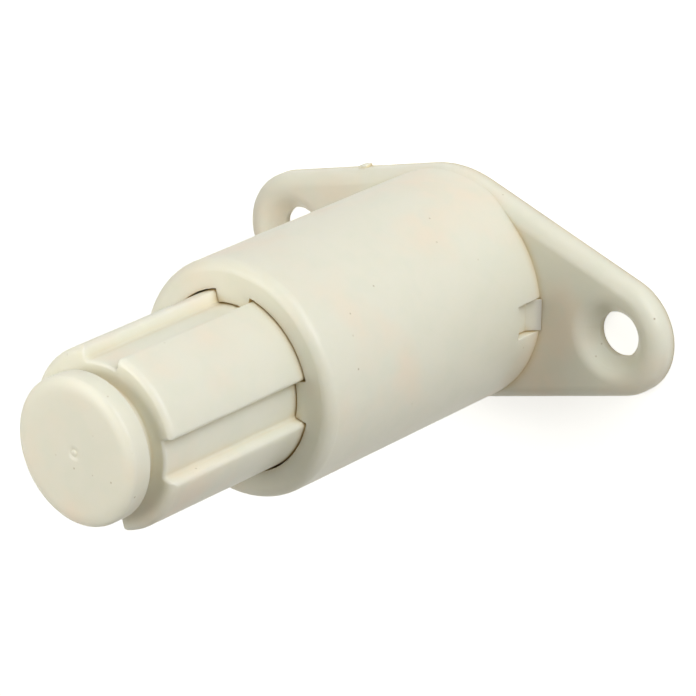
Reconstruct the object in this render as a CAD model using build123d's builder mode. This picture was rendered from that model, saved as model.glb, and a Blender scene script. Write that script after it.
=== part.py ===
"""Spring latch for cabinets and drawers: a sprung, splined plunger in a flanged barrel.

Millimetres. The origin is the centre of the flange's back face, +Z runs along the plunger
towards its head, and +X runs through the two screw ears.
"""
import math
import os
from build123d import *

# Flange with its two screw ears
screw_spacing = 32.0
flange_thickness = 1.9
flange_waist_radius = 9.55
flange_edge_round = 1.1
ear_radius = 4.85
screw_hole_radius = 1.85
screw_head_radius = 3.05    # wide end of the countersink, before its rim is rounded
screw_head_angle = 84
screw_rim_round = 1.3
gate_stub_width = 0.8
gate_stub_height = 0.2
gate_stub_from_centre = 7.2

# Barrel
barrel_radius = 9.4
barrel_length = 27.3
barrel_front_round = 0.9
bore_radius = 7.2

# Keys in the barrel's mouth and the grooves they run in
key_count = 4
key_turn = 2.5              # the keys sit this many degrees round from the ears' line
groove_half_angle = 14.2
key_side_clearance = 0.9    # degrees between a key's side and its groove's side
key_length = 5.0

# Plunger
rib_radius = 7.05
core_radius = 6.0
running_gap = 0.15
rib_front_z = 41.7
rib_front_chamfer = 0.45
collar_length = 5.0
collar_gap = 0.1            # collar to keys with the plunger out
neck_radius = 4.6
neck_length = 1.2
head_radius = 5.75
head_side_length = 1.4
head_edge_reach = 1.2       # how far the rounded edge runs in over the face
head_edge_drop = 0.5
spring_chamber_radius = 4.6
spring_chamber_end_z = 39.5
chamber_lead_in = 0.4

# Snap-in end cap behind the plunger, with its windows in the barrel's root
socket_radius = 8.2
socket_depth = 5.6
socket_lead_in = 0.3
window_width = 2.8
window_front_z = 4.6
window_turn = 1.2           # degrees round from the ears' line
cap_clearance = 0.1
cap_recess = 0.2
cap_disc_thickness = 1.5
cap_skirt_inner_radius = 7.3
cap_skirt_front_z = 5.2
arm_width = 2.6
arm_slot_width = 0.7
arm_front_z = 4.3
barb_radius = 9.55          # the barb's tip stands proud of the barrel
barb_ramp = 0.9
barb_step_radius = 8.65     # the arm's outer face in front of the barb
barb_step_ramp = 0.5
barb_gap = 0.05             # barb to the window's rear edge
spigot_radius = 3.2
spigot_front_z = 6.5
spigot_chamfer = 0.5
spigot_core_radius = 1.7
spigot_core_depth = 4.2

# Compression spring
wire_radius = 0.4
spring_mean_radius = 3.95
spring_turns = 8            # with the closed turn at each end
spring_closed_pitch = 0.85
spring_runs_per_turn = 16   # the wire is drawn as short straight runs with six sides
spring_end_gap = 0.05

# Worked out from the values above
key_radius = core_radius + running_gap
key_rear_z = barrel_length - key_length
key_half_angle = groove_half_angle - key_side_clearance
collar_front_z = key_rear_z - collar_gap
plunger_rear_z = collar_front_z - collar_length
neck_front_z = rib_front_z + neck_length
head_side_z = neck_front_z + head_side_length
head_front_z = head_side_z + head_edge_drop
cap_radius = socket_radius - cap_clearance
cap_face_z = cap_recess + cap_disc_thickness
spring_low_z = cap_face_z + wire_radius
spring_high_z = spring_chamber_end_z - spring_end_gap - wire_radius
ear_line_normal = math.acos((flange_waist_radius - ear_radius) / (screw_spacing / 2))
window_way = Vector(1, 0, 0).rotate(Axis.Z, window_turn)
window_across = Vector(0, 1, 0).rotate(Axis.Z, window_turn)


def ring_sector(inner_radius, outer_radius, half_angle):
    """Profile of a key or a groove: a piece of a ring, centred on +X."""
    with BuildSketch() as sector:
        with BuildLine():
            inner = CenterArc((0, 0), inner_radius, -half_angle, 2 * half_angle)
            outer = CenterArc((0, 0), outer_radius, -half_angle, 2 * half_angle)
            Line(inner @ 0, outer @ 0)
            Line(inner @ 1, outer @ 1)
        make_face()
    return sector.sketch


# Housing: flange, barrel, keys and the socket for the end cap, all one moulding
with BuildPart() as housing:
    with BuildSketch():
        Circle(flange_waist_radius)
        with Locations((-screw_spacing / 2, 0), (screw_spacing / 2, 0)):
            Circle(ear_radius)
        make_hull()
    extrude(amount=flange_thickness)
    fillet(housing.faces().sort_by(Axis.Z)[-1].edges(), flange_edge_round)

    # Gate stub on the upper edge of the left ear
    outward = Vector(-math.cos(ear_line_normal), math.sin(ear_line_normal), 0)
    along = Vector(-outward.Y, outward.X, 0)
    stub_centre = outward * flange_waist_radius + along * gate_stub_from_centre
    with BuildSketch(Plane(origin=stub_centre, x_dir=outward, z_dir=(0, 0, 1))):
        Rectangle(2 * gate_stub_height, gate_stub_width)
    extrude(amount=flange_thickness - flange_edge_round)

    with BuildSketch():
        Circle(barrel_radius)
    extrude(amount=barrel_length)
    fillet(housing.faces().sort_by(Axis.Z)[-1].edges(), barrel_front_round)

    # Bore, with the wider socket behind it
    with BuildSketch(Plane.XZ):
        with BuildLine():
            Polyline(
                (0, 0),
                (socket_radius + socket_lead_in, 0),
                (socket_radius, socket_lead_in),
                (socket_radius, socket_depth),
                (bore_radius, socket_depth),
                (bore_radius, barrel_length),
                (0, barrel_length),
                close=True,
            )
        make_face()
    revolve(axis=Axis.Z, mode=Mode.SUBTRACT)

    # Keys, flush with the barrel's front face
    with BuildSketch(Plane.XY.offset(key_rear_z)):
        with PolarLocations(0, key_count, start_angle=key_turn):
            add(ring_sector(key_radius, bore_radius + running_gap, key_half_angle))
    extrude(amount=key_length)

    # Snap windows beside the ears
    with BuildSketch(Plane(origin=(0, 0, 0), x_dir=window_across, z_dir=window_way)):
        with Locations((0, (flange_thickness + window_front_z) / 2)):
            Rectangle(window_width, window_front_z - flange_thickness)
    extrude(amount=barrel_radius + 1, both=True, mode=Mode.SUBTRACT)

    # Countersunk screw holes with softly rounded rims
    with Locations((-screw_spacing / 2, 0, flange_thickness), (screw_spacing / 2, 0, flange_thickness)):
        CounterSinkHole(screw_hole_radius, screw_head_radius, counter_sink_angle=screw_head_angle)
    fillet(
        housing.edges().filter_by(GeomType.CIRCLE).filter_by(
            lambda edge: abs(edge.radius - screw_head_radius) < 0.01
        ),
        screw_rim_round,
    )

# Plunger: head, neck, ribbed core and stop collar, hollow for the spring, one moulding
with BuildPart() as plunger:
    with BuildSketch(Plane.XZ):
        with BuildLine():
            Polyline(
                (0, plunger_rear_z),
                (rib_radius, plunger_rear_z),
                (rib_radius, rib_front_z - rib_front_chamfer),
                (rib_radius - rib_front_chamfer, rib_front_z),
                (neck_radius, rib_front_z),
                (neck_radius, neck_front_z),
                (head_radius, neck_front_z),
                (head_radius, head_side_z),
            )
            face_edge = (head_radius - head_edge_reach, head_front_z)
            TangentArc(face_edge, (head_radius, head_side_z), tangent=(1, 0))
            Polyline(face_edge, (0, head_front_z), (0, plunger_rear_z))
        make_face()
    revolve(axis=Axis.Z)

    # Grooves for the keys, open at the front and closed by the collar at the rear
    with BuildSketch(Plane.XY.offset(collar_front_z)):
        with PolarLocations(0, key_count, start_angle=key_turn):
            add(ring_sector(core_radius, rib_radius + 1, groove_half_angle))
    extrude(amount=rib_front_z - collar_front_z, mode=Mode.SUBTRACT)

    # Spring chamber from the rear
    with BuildSketch(Plane.XY.offset(plunger_rear_z)):
        Circle(spring_chamber_radius)
    extrude(amount=spring_chamber_end_z - plunger_rear_z, mode=Mode.SUBTRACT)
    chamfer(
        plunger.faces().sort_by(Axis.Z)[0].edges().filter_by(
            lambda edge: abs(edge.radius - spring_chamber_radius) < 0.01
        ),
        chamber_lead_in,
    )

# End cap: disc, skirt with two snap arms, and the spigot that centres the spring
with BuildPart() as end_cap:
    with BuildSketch(Plane.XY.offset(cap_recess)):
        Circle(cap_radius)
    extrude(amount=cap_disc_thickness)
    with BuildSketch(Plane.XY.offset(cap_face_z)):
        Circle(cap_radius)
        Circle(cap_skirt_inner_radius, mode=Mode.SUBTRACT)
    extrude(amount=cap_skirt_front_z - cap_face_z)

    # Gaps that free each arm from the skirt
    with BuildSketch(Plane(origin=(0, 0, 0), x_dir=window_across, z_dir=window_way)):
        with Locations((0, (cap_face_z + cap_skirt_front_z) / 2)):
            Rectangle(arm_width + 2 * arm_slot_width, cap_skirt_front_z - cap_face_z)
    extrude(amount=cap_radius + 1, both=True, mode=Mode.SUBTRACT)

    # Arms with their barbs, ramped towards the front
    barb_rear_z = flange_thickness + barb_gap
    with BuildSketch(Plane(origin=(0, 0, 0), x_dir=window_way, z_dir=-window_across)):
        with BuildLine():
            Polyline(
                (cap_skirt_inner_radius, cap_face_z),
                (cap_radius, cap_face_z),
                (cap_radius, barb_rear_z),
                (barb_radius, barb_rear_z),
                (barb_step_radius, barb_rear_z + barb_ramp),
                (barb_step_radius, arm_front_z - barb_step_ramp),
                (barb_step_radius - barb_step_ramp, arm_front_z),
                (cap_skirt_inner_radius, arm_front_z),
                close=True,
            )
        make_face()
        mirror(about=Plane.YZ)
    extrude(amount=arm_width / 2, both=True)

    # Spigot, cored from behind
    with BuildSketch(Plane.XY.offset(cap_face_z)):
        Circle(spigot_radius)
    extrude(amount=spigot_front_z - cap_face_z)
    chamfer(end_cap.faces().sort_by(Axis.Z)[-1].edges(), spigot_chamfer)
    with BuildSketch(Plane.XY.offset(cap_recess)):
        Circle(spigot_core_radius)
    extrude(amount=spigot_core_depth, mode=Mode.SUBTRACT)

# Compression spring: the turns are open between one closed turn at each end
spring_open_pitch = (spring_high_z - spring_low_z - 2 * spring_closed_pitch) / (spring_turns - 2)
coil_points = []
for step in range(spring_turns * spring_runs_per_turn + 1):
    turn = step / spring_runs_per_turn
    closed_turns = min(turn, 1) + max(turn - spring_turns + 1, 0)
    height = closed_turns * spring_closed_pitch + (turn - closed_turns) * spring_open_pitch
    coil_points.append(Vector(spring_mean_radius, 0, spring_low_z + height).rotate(Axis.Z, 360 * turn))
with BuildPart() as spring:
    with BuildLine():
        coil = Polyline(*coil_points)
    with BuildSketch(Plane(origin=coil @ 0, z_dir=coil % 0)):
        RegularPolygon(wire_radius, 6)
    sweep(transition=Transition.RIGHT)

os.makedirs("parts", exist_ok=True)
housing.part.label = "housing"
plunger.part.label = "plunger"
end_cap.part.label = "end_cap"
spring.part.label = "spring"
export_step(housing.part, "parts/housing.step")
export_step(plunger.part, "parts/plunger.step")
export_step(end_cap.part, "parts/end_cap.step")
export_step(spring.part, "parts/spring.step")
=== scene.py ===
import math
import bpy
from mathutils import Matrix, Vector


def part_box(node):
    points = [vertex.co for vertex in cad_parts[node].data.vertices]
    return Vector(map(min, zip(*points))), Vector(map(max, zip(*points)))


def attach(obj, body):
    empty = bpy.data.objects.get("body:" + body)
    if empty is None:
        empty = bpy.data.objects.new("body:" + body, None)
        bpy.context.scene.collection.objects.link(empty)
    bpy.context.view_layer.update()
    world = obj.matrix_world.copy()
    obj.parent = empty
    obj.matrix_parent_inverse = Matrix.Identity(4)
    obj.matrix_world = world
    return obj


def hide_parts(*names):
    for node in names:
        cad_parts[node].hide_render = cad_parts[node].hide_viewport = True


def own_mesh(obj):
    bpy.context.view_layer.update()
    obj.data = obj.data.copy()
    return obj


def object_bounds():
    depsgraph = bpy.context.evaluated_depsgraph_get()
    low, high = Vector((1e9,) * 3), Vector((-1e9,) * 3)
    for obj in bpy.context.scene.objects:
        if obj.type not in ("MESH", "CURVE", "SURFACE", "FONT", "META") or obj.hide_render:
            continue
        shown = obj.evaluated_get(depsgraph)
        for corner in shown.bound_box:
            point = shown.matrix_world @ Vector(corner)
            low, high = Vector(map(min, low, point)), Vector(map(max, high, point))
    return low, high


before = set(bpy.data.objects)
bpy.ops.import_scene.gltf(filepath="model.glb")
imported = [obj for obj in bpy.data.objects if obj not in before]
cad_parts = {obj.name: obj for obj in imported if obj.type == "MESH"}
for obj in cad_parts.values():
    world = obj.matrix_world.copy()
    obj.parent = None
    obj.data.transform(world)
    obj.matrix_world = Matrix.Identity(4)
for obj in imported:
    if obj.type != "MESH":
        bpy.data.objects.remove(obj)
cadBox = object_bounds()
scene = bpy.context.scene
mm = 0.001
white = (1, 1, 1, 1)


def linearColour(hexText):
    # sRGB hex to the linear values that Blender's sockets take
    channels = [int(hexText[i:i + 2], 16) / 255 for i in (1, 3, 5)]
    return [c / 12.92 if c <= 0.04045 else ((c + 0.055) / 1.055) ** 2.4 for c in channels] + [1.0]


def addNode(tree, kind, inputs=None, **settings):
    # an input is a value, an output to link, or a node, which stands for its first output in use
    # Mix takes its factor at 0, numbers at 2 and 3, vectors at 4 and 5, colours at 6 and 7
    # Map Range takes the range that it reads at 1 and 2 and the one that it gives at 3 and 4
    node = tree.nodes.new(kind)
    for key, value in settings.items():
        setattr(node, key, value)
    for key, value in (inputs or {}).items():
        if isinstance(value, bpy.types.Node):
            value = next(output for output in value.outputs if output.enabled)
        if isinstance(value, bpy.types.NodeSocket):
            tree.links.new(value, node.inputs[key])
        else:
            node.inputs[key].default_value = value
    return node


def emptyTree(owner):
    # the node tree of a material or a world, with nothing in it
    owner.use_nodes = True
    owner.node_tree.nodes.clear()
    return owner.node_tree


# Camera
camera = {
    "place": (0.1847, 0.1256, 0.2409),   # metres from the middle of the flange's back face
    "azimuth": 34.556,                   # degrees, of the place that it looks from
    "elevation": 45.34,
    "roll": -114.62,                     # the latch points down to the left in the picture
    "focalPixels": 4132.7,
    "framePixels": 696,
    "sensor": 36.0,                      # mm
    "nearest": 0.01,                     # metres
}


def addCamera():
    data = bpy.data.cameras.new("photoCamera")
    data.sensor_width = camera["sensor"]
    data.lens = camera["sensor"] * camera["focalPixels"] / camera["framePixels"]
    data.clip_start = camera["nearest"]
    azimuth, elevation, roll = (math.radians(camera[k]) for k in ("azimuth", "elevation", "roll"))
    back = Vector((math.cos(elevation) * math.cos(azimuth),
                   math.cos(elevation) * math.sin(azimuth), math.sin(elevation)))
    level = Vector((-math.sin(azimuth), math.cos(azimuth), 0))
    right = Matrix.Rotation(roll, 3, back) @ level
    turn = Matrix((right, back.cross(right), back)).transposed()
    eye = bpy.data.objects.new("photoCamera", data)
    eye.matrix_world = turn.to_4x4()
    eye.location = camera["place"]
    scene.collection.objects.link(eye)
    scene.camera = eye


# Floor and light
studio = {
    "floorSize": 3.0,                    # metres
    "floorColour": "#f2f2f0",
    "floorGlow": 0.66,                   # seen only directly, in reflections and through what is clear
    "worldColour": "#fff7de",
    "worldUp": (-0.27, 0.92, -0.29),     # the way that is up in the picture
    "worldStrength": (0.12, 0.2),        # from below and from above
}
lamps = {   # square panels that face the object: metres and watts
    "key": {"from": (0.7, 0.8, 0.04), "distance": 0.45, "size": 0.35, "power": 2.35, "colour": "#fafcff"},
    "fill": {"from": (-0.32, 0.15, 0.92), "distance": 0.13, "size": 0.08, "power": 0.09, "colour": "#fffdf8"},
    "low": {"from": (0.4, -0.9, 0.05), "distance": 0.3, "size": 0.25, "power": 0.17, "colour": "#fffdf8"},
}


def seenShare(tree):
    # 1 for the rays that see the background itself, and 0 for those that only carry its light
    rays = addNode(tree, "ShaderNodeLightPath").outputs
    seen = rays["Is Camera Ray"]
    for title in ("Is Glossy Ray", "Is Transmission Ray"):
        seen = addNode(tree, "ShaderNodeMath", {0: seen, 1: rays[title]}, operation="MAXIMUM")
    return seen


def addFloor():
    half = studio["floorSize"] / 2
    corners = [(-half, -half, 0), (half, -half, 0), (half, half, 0), (-half, half, 0)]
    mesh = bpy.data.meshes.new("floor")
    mesh.from_pydata(corners, [], [(0, 1, 2, 3)])
    floor = bpy.data.objects.new("floor", mesh)
    scene.collection.objects.link(floor)

    # Studio paper: matt, so that it takes a soft shadow and shows no gloss
    paper = bpy.data.materials.new("white studio paper")
    tree = emptyTree(paper)
    glow = addNode(tree, "ShaderNodeMath", {0: seenShare(tree), 1: studio["floorGlow"]}, operation="MULTIPLY")
    matt = addNode(tree, "ShaderNodeBsdfDiffuse", {"Color": linearColour(studio["floorColour"])})
    light = addNode(tree, "ShaderNodeEmission", {"Color": white, "Strength": glow})
    both = addNode(tree, "ShaderNodeAddShader", {0: matt, 1: light})
    addNode(tree, "ShaderNodeOutputMaterial", {"Surface": both})
    mesh.materials.append(paper)


def addLamps():
    aim = Vector((0, 0, cadBox[1][2] / 2))
    for name, lamp in lamps.items():
        data = bpy.data.lights.new(name + "Light", "AREA")
        data.size = lamp["size"]
        data.energy = lamp["power"]
        data.color = linearColour(lamp["colour"])[:3]
        panel = bpy.data.objects.new(name + "Light", data)
        direction = Vector(lamp["from"]).normalized()
        panel.location = aim + direction * lamp["distance"]
        panel.rotation_euler = direction.to_track_quat("Z", "Y").to_euler()
        panel.visible_camera = False
        scene.collection.objects.link(panel)


def addWorld():
    # plain white where it is seen, and a soft light that grows towards the picture's top elsewhere
    world = bpy.data.worlds.new("studio")
    scene.world = world
    tree = emptyTree(world)
    seen = seenShare(tree)
    way = addNode(tree, "ShaderNodeTexCoord").outputs["Generated"]
    rise = addNode(tree, "ShaderNodeVectorMath", {0: way, 1: studio["worldUp"]}, operation="DOT_PRODUCT")
    low, high = studio["worldStrength"]
    soft = addNode(tree, "ShaderNodeMapRange", {0: rise, 1: -1.0, 2: 1.0, 3: low, 4: high})
    strength = addNode(tree, "ShaderNodeMix", {0: seen, 2: soft, 3: 1.0}, data_type="FLOAT")
    tint = addNode(tree, "ShaderNodeMix", {0: seen, 6: linearColour(studio["worldColour"]), 7: white},
                   data_type="RGBA")
    sky = addNode(tree, "ShaderNodeBackground", {"Color": tint, "Strength": strength})
    addNode(tree, "ShaderNodeOutputWorld", {"Surface": sky})


# Natural nylon, injection moulded: ivory, a little translucent, satin with a faint spark-eroded grain
nylon = {
    "body": "#ebe9da",
    "warm": "#f0e6d4",           # slow drift of colour between thick and thin places
    "warmRange": (0.5, 0.7),     # of the drift's noise, from no warm tint to all of it
    "driftSize": 7.0,            # mm
    "driftDetail": 2.0,
    "cool": "#e4e6d6",           # faint clouds inside the resin
    "coolRange": (0.45, 0.65),   # of the clouds' noise, from no cool tint to the most of it
    "coolMost": 0.35,
    "cloudSize": 2.2,            # mm
    "cloudDetail": 3.0,
    "crevice": "#dac591",        # painted shade: amber painted into crevices, gaps and corners, standing in for the light that has gone many times through the resin there
    "paintedShadeRange": (0.1, 0.85),  # of the open sky, from all of the amber to none
    "creviceSize": 0.9,          # mm
    "paintedShadeSamples": 6,
    "speck": "#b9ae92",          # dust under the surface
    "speckRange": (0.05, 0.12),  # of a cell, a speck's solid core and its edge
    "speckSize": 0.9,            # mm, a cell of the pattern
    "speckShare": 0.1,           # of the cells that hold a speck
    "waveSize": 5.0,             # mm, the slow unevenness of a moulded wall
    "waveDetail": 1.0,
    "waveDepth": 0.03,           # mm
    "grainSize": 0.25,           # mm, the mould's grain drawn a little coarse so that it shows
    "grainDetail": 3.0,
    "grainDepth": 0.004,         # mm
    "roughness": (0.38, 0.5),    # follows the drift
    "ior": 1.53,
    "scatter": 0.7,
    "scatterDepth": 1.0,         # mm
    "scatterColours": (1.0, 0.95, 0.86),  # how deep red, green and blue go, as shares of it
}


def makeNylon():
    material = bpy.data.materials.new("injection moulded natural nylon")
    tree = emptyTree(material)
    place = addNode(tree, "ShaderNodeTexCoord").outputs["Object"]
    noise = {}
    for title in ("drift", "cloud", "wave", "grain"):
        noise[title] = addNode(tree, "ShaderNodeTexNoise", {
            0: place, "Scale": 1 / (nylon[title + "Size"] * mm), "Detail": nylon[title + "Detail"]})
    start, full = nylon["warmRange"]
    warm = addNode(tree, "ShaderNodeMapRange", {0: noise["drift"], 1: start, 2: full, 3: 0.0, 4: 1.0})
    start, full = nylon["coolRange"]
    cool = addNode(tree, "ShaderNodeMapRange", {0: noise["cloud"], 1: start, 2: full, 3: 0.0,
                                                4: nylon["coolMost"]})

    # Painted shade in crevices: the open share of the sky above a point, over a short distance, sets how much
    # amber is painted
    opened = addNode(tree, "ShaderNodeAmbientOcclusion", {"Distance": nylon["creviceSize"] * mm},
                     samples=nylon["paintedShadeSamples"]).outputs["AO"]
    full, end = nylon["paintedShadeRange"]
    crevice = addNode(tree, "ShaderNodeMapRange", {0: opened, 1: full, 2: end, 3: 1.0, 4: 0.0})

    # Specks: in some cells of a fine pattern, a small round spot at the cell's own point
    cells = addNode(tree, "ShaderNodeTexVoronoi", {0: place, "Scale": 1 / (nylon["speckSize"] * mm)}).outputs
    full, end = nylon["speckRange"]
    spot = addNode(tree, "ShaderNodeMapRange", {0: cells["Distance"], 1: full, 2: end, 3: 1.0, 4: 0.0})
    draws = addNode(tree, "ShaderNodeSeparateColor", {0: cells["Color"]}).outputs
    chosen = addNode(tree, "ShaderNodeMath", {0: draws["Red"], 1: nylon["speckShare"]}, operation="LESS_THAN")
    speck = addNode(tree, "ShaderNodeMath", {0: spot, 1: chosen}, operation="MULTIPLY")
    speck = addNode(tree, "ShaderNodeMath", {0: speck, 1: draws["Green"]}, operation="MULTIPLY")

    colour = linearColour(nylon["body"])
    # the warm drift, the cool clouds and the dust specks are the resin's own; the amber in crevices is
    # painted shade
    for title, share in (("warm", warm), ("cool", cool), ("crevice", crevice), ("speck", speck)):
        colour = addNode(tree, "ShaderNodeMix", {0: share, 6: colour, 7: linearColour(nylon[title])},
                         data_type="RGBA")
    low, high = nylon["roughness"]
    rough = addNode(tree, "ShaderNodeMapRange", {0: noise["drift"], 3: low, 4: high})

    waveBump = addNode(tree, "ShaderNodeBump", {
        "Strength": 1.0, "Distance": nylon["waveDepth"] * mm, "Height": noise["wave"]})
    grainBump = addNode(tree, "ShaderNodeBump", {
        "Strength": 1.0, "Distance": nylon["grainDepth"] * mm, "Height": noise["grain"], "Normal": waveBump})
    surface = addNode(tree, "ShaderNodeBsdfPrincipled", {
        "Base Color": colour,
        "Roughness": rough,
        "IOR": nylon["ior"],
        "Subsurface Weight": nylon["scatter"],
        "Subsurface Radius": nylon["scatterColours"],
        "Subsurface Scale": nylon["scatterDepth"] * mm,
        "Normal": grainBump,
    })
    addNode(tree, "ShaderNodeOutputMaterial", {"Surface": surface})
    return material


# Spring steel wire, drawn bright: a grey metal with a satin gloss that varies a little
steel = {
    "body": "#b6b8bb",
    "roughness": (0.25, 0.4),
    "grainSize": 0.05,           # mm, the fine marks of the drawing die
    "grainDetail": 2.0,
}


def makeSteel():
    material = bpy.data.materials.new("drawn spring steel wire")
    tree = emptyTree(material)
    place = addNode(tree, "ShaderNodeTexCoord").outputs["Object"]
    grain = addNode(tree, "ShaderNodeTexNoise", {
        0: place, "Scale": 1 / (steel["grainSize"] * mm), "Detail": steel["grainDetail"]})
    low, high = steel["roughness"]
    rough = addNode(tree, "ShaderNodeMapRange", {0: grain, 3: low, 4: high})
    surface = addNode(tree, "ShaderNodeBsdfPrincipled", {
        "Base Color": linearColour(steel["body"]), "Metallic": 1.0, "Roughness": rough})
    addNode(tree, "ShaderNodeOutputMaterial", {"Surface": surface})
    return material


# Geometry Nodes: what the plunger's and the spring's trees share
sharpAngle = 35                  # degrees, an edge that turns the surface by more is drawn crisp
socketKinds = {int: "NodeSocketInt", float: "NodeSocketFloat", bpy.types.Material: "NodeSocketMaterial"}


def startTree(name, values):
    # a tree whose named inputs hold the piece's values
    tree = bpy.data.node_groups.new(name, "GeometryNodeTree")
    tree.interface.new_socket("Geometry", in_out="INPUT", socket_type="NodeSocketGeometry")
    for title, value in values.items():
        tree.interface.new_socket(title, in_out="INPUT", socket_type=socketKinds[type(value)])
    tree.interface.new_socket("Geometry", in_out="OUTPUT", socket_type="NodeSocketGeometry")
    return tree, addNode(tree, "NodeGroupInput").outputs


def endTree(tree, geometry, material):
    bend = addNode(tree, "GeometryNodeInputMeshEdgeAngle")
    corner = addNode(tree, "FunctionNodeCompare", {0: bend, 1: math.radians(sharpAngle)},
                     operation="GREATER_THAN")
    smooth = addNode(tree, "GeometryNodeSetShadeSmooth", {"Geometry": geometry, "Shade Smooth": True},
                     domain="FACE")
    crisp = addNode(tree, "GeometryNodeSetShadeSmooth", {
        "Geometry": smooth, "Selection": corner, "Shade Smooth": False}, domain="EDGE")
    real = addNode(tree, "GeometryNodeRealizeInstances", {"Geometry": crisp})
    coated = addNode(tree, "GeometryNodeSetMaterial", {"Geometry": real, "Material": material})
    addNode(tree, "NodeGroupOutput", {"Geometry": coated})


def runTree(name, tree, start, values):
    # gives the plain mesh that the tree makes from the start mesh, as an object at the origin
    carrier = bpy.data.objects.new(name + "Carrier", start)
    scene.collection.objects.link(carrier)
    modifier = carrier.modifiers.new(name, "NODES")
    modifier.node_group = tree
    for item in tree.interface.items_tree:
        if item.in_out == "INPUT" and item.name in values:
            modifier[item.identifier] = values[item.name]
    evaluated = carrier.evaluated_get(bpy.context.evaluated_depsgraph_get())
    mesh = bpy.data.meshes.new_from_object(evaluated)
    mesh.name = name
    bpy.data.objects.remove(carrier)
    piece = bpy.data.objects.new(name, mesh)
    scene.collection.objects.link(piece)
    return piece


# Plunger: its profile turned about the axis, cut in by the grooves between the four ribs
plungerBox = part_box("plunger")
plunger = {   # mm and degrees
    "rearZ": plungerBox[0][2] / mm,
    "frontZ": plungerBox[1][2] / mm,
    "ribRadius": plungerBox[1][0] / mm,
    "coreRadius": 6.0,
    "grooveCount": 4,
    "grooveHalfAngle": 14.2,
    "grooveTurn": 2.5,           # round from the ears' line
    "collarLength": 5.0,
    "collarRound": 0.15,
    "ribFrontZ": 41.7,
    "ribFrontRound": 0.55,
    "ribEdgeRound": 0.3,
    "grooveFloorRound": 0.25,
    "ribEndInset": 0.24,         # how far the rounding at the ribs' front draws their sides in
    "neckRadius": 4.6,
    "neckLength": 1.2,
    "neckRound": 0.15,
    "headRadius": 5.75,
    "headSideLength": 1.4,
    "headRearRound": 0.15,
    "headEdgeReach": 1.2,
    "headEdgeDrop": 0.5,
    "chamberRadius": 4.6,
    "chamberEndZ": 39.5,
    "chamberRound": 0.4,
    "chamberLeadIn": 0.4,
    # the ring that the gate left in the middle of the head: radius and depth, from the flat face inwards
    "gateRing": ((0.7, 0), (0.43, 0), (0.35, 0.05), (0.25, 0.05), (0.19, 0.01), (0, 0.01)),
    "arcPoints": 14,             # on each rib's top and on each groove's floor
    "cornerPoints": 4,           # more at each corner of the section
    "ribRows": 4,                # along the ribs, behind the rounding at their front
    "ribFrontSteps": 12,
    "headEdgeSteps": 10,
    "roundSteps": 4,             # in each of the other roundings
    "mergeDistance": 0.002,
}


def arc(centre, radii, start, end, steps):
    # points of an elliptical arc, in degrees, with its first and last point
    angles = [math.radians(start + (end - start) * i / steps) for i in range(steps + 1)]
    return [(centre[0] + radii[0] * math.cos(a), centre[1] + radii[1] * math.sin(a)) for a in angles]


def plungerProfile():
    # rows (radius, height, front share, ribbed) from the chamber's end, round the rear and up to the head
    p = plunger
    steps = p["roundSteps"]

    # chamber and collar: round all the way
    chamber, blind, leadIn = p["chamberRadius"], p["chamberRound"], p["chamberLeadIn"]
    rib, edge = p["ribRadius"], p["collarRound"]
    collarFront = p["rearZ"] + p["collarLength"]
    rear = [(0, p["chamberEndZ"])]
    rear += arc((chamber - blind, p["chamberEndZ"] - blind), (blind, blind), 90, 0, steps)
    rear += [(chamber, p["rearZ"] + leadIn), (chamber + leadIn, p["rearZ"])]
    rear += arc((rib - edge, p["rearZ"] + edge), (edge, edge), -90, 0, steps)
    rear += [(rib, collarFront - edge), (rib, collarFront)]
    rows = [(r, z, 0, 0) for r, z in rear]

    # ribs: the front section takes over, along a quarter circle, over the last of their front rounding
    front, inset = p["ribFrontRound"], p["ribEndInset"]
    rise = p["ribFrontZ"] - front
    ribs = [(rib, collarFront + (rise - collarFront) * i / p["ribRows"]) for i in range(p["ribRows"])]
    ribs += arc((rib - front, rise), (front, front), 0, 90, p["ribFrontSteps"])
    for r, z in ribs:
        lift = max(0, z - (p["ribFrontZ"] - inset))
        rows.append((r, z, 1 - math.sqrt(max(1 - (lift / inset) ** 2, 0)), 1))

    # the neck's foot keeps the front share, which there only sets the directions of the columns
    neck, soft = p["neckRadius"] + p["neckRound"], p["neckRound"]
    foot = arc((neck, p["ribFrontZ"] + soft), (soft, soft), 270, 180, steps)
    rows += [(r, z, 1, 0) for r, z in foot]

    # neck and head, up to the gate's ring
    neckFront = p["ribFrontZ"] + p["neckLength"]
    headSide = neckFront + p["headSideLength"]
    under, reach = p["headRearRound"], p["headEdgeReach"]
    head = arc((neck, neckFront - soft), (soft, soft), 180, 90, steps)
    head += arc((p["headRadius"] - under, neckFront + under), (under, under), -90, 0, steps)
    head += arc((p["headRadius"] - reach, headSide), (reach, p["headEdgeDrop"]), 0, 90, p["headEdgeSteps"])
    head += [(radius, p["frontZ"] - depth) for radius, depth in p["gateRing"]]
    return rows + [(r, z, 0, 0) for r, z in head]


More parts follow.
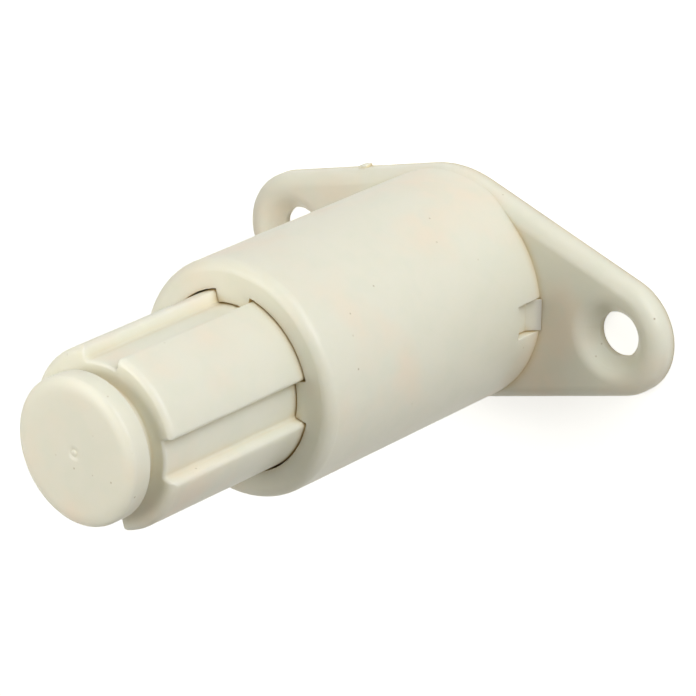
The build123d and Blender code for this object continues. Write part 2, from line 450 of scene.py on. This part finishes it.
def sectionCurve(tree, given, front=""):
    # a ring with as many points on a groove's floor as on a rib's top, moved to their places by number
    perArc = given["Arc Points"]
    total = addNode(tree, "ShaderNodeMath", {0: perArc, 1: given["Groove Count"]}, operation="MULTIPLY")
    total = addNode(tree, "ShaderNodeMath", {0: total, 1: 2.0}, operation="MULTIPLY")
    ring = addNode(tree, "GeometryNodeCurvePrimitiveCircle", {"Resolution": total})
    number = addNode(tree, "GeometryNodeInputIndex")
    arcNumber = addNode(tree, "ShaderNodeMath", {0: number, 1: perArc}, operation="DIVIDE")
    arcNumber = addNode(tree, "ShaderNodeMath", {0: arcNumber}, operation="FLOOR")
    isRib = addNode(tree, "ShaderNodeMath", {0: arcNumber, 1: 2.0}, operation="MODULO")

    # each arc's middle and half width in degrees, and a point's place on its arc from -1 to 1
    step = addNode(tree, "ShaderNodeMath", {0: 180.0, 1: given["Groove Count"]}, operation="DIVIDE")
    middle = addNode(tree, "ShaderNodeMath", {0: arcNumber, 1: step, 2: given["Turn"]},
                     operation="MULTIPLY_ADD")
    grooveHalf = given[front + "Groove Half Angle"]
    ribHalf = addNode(tree, "ShaderNodeMath", {0: step, 1: grooveHalf}, operation="SUBTRACT")
    half = addNode(tree, "ShaderNodeMix", {0: isRib, 2: grooveHalf, 3: ribHalf}, data_type="FLOAT")
    along = addNode(tree, "ShaderNodeMath", {0: number, 1: perArc}, operation="MODULO")
    last = addNode(tree, "ShaderNodeMath", {0: perArc, 1: 1.0}, operation="SUBTRACT")
    place = addNode(tree, "ShaderNodeMapRange", {0: along, 1: 0.0, 2: last, 3: -1.0, 4: 1.0})
    angle = addNode(tree, "ShaderNodeMath", {0: place, 1: half, 2: middle}, operation="MULTIPLY_ADD")
    angle = addNode(tree, "ShaderNodeMath", {0: angle}, operation="RADIANS")
    floorRadius, topRadius = given[front + "Core Radius"], given[front + "Rib Radius"]
    radius = addNode(tree, "ShaderNodeMix", {0: isRib, 2: floorRadius, 3: topRadius}, data_type="FLOAT")
    arm = addNode(tree, "ShaderNodeCombineXYZ", {0: radius})
    spot = addNode(tree, "ShaderNodeVectorRotate", {"Vector": arm, "Angle": angle}, rotation_type="Z_AXIS")
    section = addNode(tree, "GeometryNodeSetPosition", {"Geometry": ring, "Position": spot})

    # the first and last point of each arc are corners and are rounded
    nearlyOne = 0.99
    size = addNode(tree, "ShaderNodeMath", {0: place}, operation="ABSOLUTE")
    isCorner = addNode(tree, "ShaderNodeMath", {0: size, 1: nearlyOne}, operation="GREATER_THAN")
    floorRound, topRound = given["Floor Round"], given[front + "Edge Round"]
    soft = addNode(tree, "ShaderNodeMix", {0: isRib, 2: floorRound, 3: topRound}, data_type="FLOAT")
    soft = addNode(tree, "ShaderNodeMath", {0: soft, 1: isCorner}, operation="MULTIPLY")
    count = addNode(tree, "ShaderNodeMath", {0: isCorner, 1: given["Corner Points"], 2: 1.0},
                    operation="MULTIPLY_ADD")
    return addNode(tree, "GeometryNodeFilletCurve", {
        "Curve": section, "Count": count, "Radius": soft, "Limit Radius": True}, mode="POLY")


def plungerTree(values):
    tree, given = startTree("ribbed plunger", values)
    profile = given["Geometry"]
    sections = [sectionCurve(tree, given), sectionCurve(tree, given, "Front ")]
    around = addNode(tree, "GeometryNodeAttributeDomainSize", {"Geometry": sections[0]},
                     component="CURVE").outputs["Point Count"]
    rows = addNode(tree, "GeometryNodeAttributeDomainSize", {"Geometry": profile},
                   component="MESH").outputs["Point Count"]

    # skin: a grid whose columns follow the section and whose rows follow the profile
    columns = addNode(tree, "ShaderNodeMath", {0: around, 1: 1.0}, operation="ADD")
    grid = addNode(tree, "GeometryNodeMeshGrid", {"Vertices X": columns, "Vertices Y": rows})
    number = addNode(tree, "GeometryNodeInputIndex")
    row = addNode(tree, "ShaderNodeMath", {0: number, 1: rows}, operation="MODULO")
    column = addNode(tree, "ShaderNodeMath", {0: number, 1: rows}, operation="DIVIDE")
    column = addNode(tree, "ShaderNodeMath", {0: column}, operation="FLOOR")
    column = addNode(tree, "ShaderNodeMath", {0: column, 1: around}, operation="MODULO")
    position = addNode(tree, "GeometryNodeInputPosition")
    points = []
    for source, index in ((sections[0], column), (sections[1], column), (profile, row)):
        points.append(addNode(tree, "GeometryNodeSampleIndex", {
            "Geometry": source, "Value": position, "Index": index}, data_type="FLOAT_VECTOR"))
    plainPoint, frontPoint, profilePoint = points
    shares = []
    for title in ("front", "ribbed"):
        named = addNode(tree, "GeometryNodeInputNamedAttribute", {"Name": title}, data_type="FLOAT")
        shares.append(addNode(tree, "GeometryNodeSampleIndex", {
            "Geometry": profile, "Value": named, "Index": row}, data_type="FLOAT"))
    frontShare, ribbed = shares

    # a ribbed row reaches no further out than the section, and any other row is round
    cut = addNode(tree, "ShaderNodeMix", {0: frontShare, 4: plainPoint, 5: frontPoint}, data_type="VECTOR")
    reach = addNode(tree, "ShaderNodeVectorMath", {0: cut}, operation="LENGTH")
    way = addNode(tree, "ShaderNodeVectorMath", {0: cut}, operation="NORMALIZE")
    spot = addNode(tree, "ShaderNodeSeparateXYZ", {0: profilePoint}).outputs
    lower = addNode(tree, "ShaderNodeMath", {0: spot["X"], 1: reach}, operation="MINIMUM")
    radius = addNode(tree, "ShaderNodeMix", {0: ribbed, 2: spot["X"], 3: lower}, data_type="FLOAT")
    flat = addNode(tree, "ShaderNodeVectorMath", {0: way, "Scale": radius}, operation="SCALE")
    height = addNode(tree, "ShaderNodeCombineXYZ", {2: spot["Z"]})
    target = addNode(tree, "ShaderNodeVectorMath", {0: flat, 1: height}, operation="ADD")
    skin = addNode(tree, "GeometryNodeSetPosition", {"Geometry": grid, "Position": target})
    closed = addNode(tree, "GeometryNodeMergeByDistance", {
        "Geometry": skin, "Distance": given["Merge Distance"]})
    endTree(tree, closed, given["Material"])
    return tree


def makePlunger(material):
    p = plunger
    rows = plungerProfile()
    start = bpy.data.meshes.new("plungerProfile")
    start.from_pydata([(r * mm, 0, z * mm) for r, z, front, ribbed in rows],
                      [(i, i + 1) for i in range(len(rows) - 1)], [])
    # the rows' last two values go with their points
    for index, title in ((2, "front"), (3, "ribbed")):
        layer = start.attributes.new(title, "FLOAT", "POINT")
        layer.data.foreach_set("value", [row[index] for row in rows])
    inset = p["ribEndInset"]
    values = {
        "Material": material,
        "Core Radius": p["coreRadius"] * mm,
        "Rib Radius": p["ribRadius"] * mm,
        "Groove Half Angle": p["grooveHalfAngle"],
        "Turn": p["grooveTurn"],
        "Groove Count": p["grooveCount"],
        "Arc Points": p["arcPoints"],
        "Corner Points": p["cornerPoints"],
        "Edge Round": p["ribEdgeRound"] * mm,
        "Floor Round": p["grooveFloorRound"] * mm,
        "Front Core Radius": (p["coreRadius"] - inset) * mm,
        "Front Rib Radius": (p["ribRadius"] - inset) * mm,
        "Front Groove Half Angle": p["grooveHalfAngle"] + math.degrees(inset / p["ribRadius"]),
        "Front Edge Round": (p["ribEdgeRound"] - inset) * mm,
        "Merge Distance": p["mergeDistance"] * mm,
    }
    piece = runTree("ribbedPlunger", plungerTree(values), start, values)
    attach(piece, "plunger")
    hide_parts("plunger")
    return piece


# Spring: round wire wound about the axis, with a closed turn at each end
spring = {   # mm
    "wireRadius": 0.4,
    "meanRadius": 3.95,
    "turns": 8,
    "closedPitch": 0.85,
    "stepsPerTurn": 40,
    "sides": 12,
    "fixedEnd": 1.7,             # where it rests on the end cap
}


def springTree(values):
    tree, given = startTree("compression spring", values)
    perTurn = given["Steps Per Turn"]
    steps = addNode(tree, "ShaderNodeMath", {0: given["Turns"], 1: perTurn}, operation="MULTIPLY")
    count = addNode(tree, "ShaderNodeMath", {0: steps, 1: 1.0}, operation="ADD")
    line = addNode(tree, "GeometryNodeMeshLine", {"Count": count})
    number = addNode(tree, "GeometryNodeInputIndex")
    turn = addNode(tree, "ShaderNodeMath", {0: number, 1: perTurn}, operation="DIVIDE")

    # how many turns up to a point are closed, in the first turn and the last, and how many are open
    lastClosed = addNode(tree, "ShaderNodeMath", {0: given["Turns"], 1: 1.0}, operation="SUBTRACT")
    firstPart = addNode(tree, "ShaderNodeMath", {0: turn, 1: 1.0}, operation="MINIMUM")
    lastPart = addNode(tree, "ShaderNodeMath", {0: turn, 1: lastClosed}, operation="SUBTRACT")
    lastPart = addNode(tree, "ShaderNodeMath", {0: lastPart, 1: 0.0}, operation="MAXIMUM")
    closed = addNode(tree, "ShaderNodeMath", {0: firstPart, 1: lastPart}, operation="ADD")
    opened = addNode(tree, "ShaderNodeMath", {0: turn, 1: closed}, operation="SUBTRACT")
    height = addNode(tree, "ShaderNodeMath", {0: closed, 1: given["Closed Pitch"], 2: given["Low Z"]},
                     operation="MULTIPLY_ADD")
    height = addNode(tree, "ShaderNodeMath", {0: opened, 1: given["Open Pitch"], 2: height},
                     operation="MULTIPLY_ADD")
    angle = addNode(tree, "ShaderNodeMath", {0: turn, 1: 2 * math.pi}, operation="MULTIPLY")
    arm = addNode(tree, "ShaderNodeCombineXYZ", {0: given["Mean Radius"], 2: height})
    spot = addNode(tree, "ShaderNodeVectorRotate", {"Vector": arm, "Angle": angle}, rotation_type="Z_AXIS")
    wound = addNode(tree, "GeometryNodeSetPosition", {"Geometry": line, "Position": spot})
    path = addNode(tree, "GeometryNodeMeshToCurve", {"Mesh": wound})
    ring = addNode(tree, "GeometryNodeCurvePrimitiveCircle", {
        "Resolution": given["Sides"], "Radius": given["Wire Radius"]})
    wire = addNode(tree, "GeometryNodeCurveToMesh", {
        "Curve": path, "Profile Curve": ring, "Fill Caps": True})
    endTree(tree, wire, given["Material"])
    return tree


def makeSpring(material):
    s = spring
    low, high = s["fixedEnd"] * mm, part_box("spring")[1][2]
    wire, closedPitch = s["wireRadius"] * mm, s["closedPitch"] * mm
    first, last = low + wire, high - wire
    closedTurns = 2              # one at each end
    values = {
        "Material": material,
        "Turns": s["turns"],
        "Steps Per Turn": s["stepsPerTurn"],
        "Sides": s["sides"],
        "Low Z": first,
        "Closed Pitch": closedPitch,
        "Open Pitch": (last - first - closedTurns * closedPitch) / (s["turns"] - closedTurns),
        "Mean Radius": s["meanRadius"] * mm,
        "Wire Radius": wire,
    }
    piece = runTree("coilSpring", springTree(values), bpy.data.meshes.new("springStart"), values)
    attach(piece, "housing")
    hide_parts("spring")
    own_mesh(piece)
    return piece


addCamera()
print("camera set")
addFloor()
addLamps()
addWorld()
scene.view_settings.view_transform = "Standard"
print("floor and lights set")
nylonMaterial = makeNylon()
steelMaterial = makeSteel()
for name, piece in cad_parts.items():
    piece.data.materials.clear()
    piece.data.materials.append(steelMaterial if name == "spring" else nylonMaterial)
print("materials set")
for piece in (makePlunger(nylonMaterial), makeSpring(steelMaterial)):
    print(piece.name, len(piece.data.polygons), "faces")
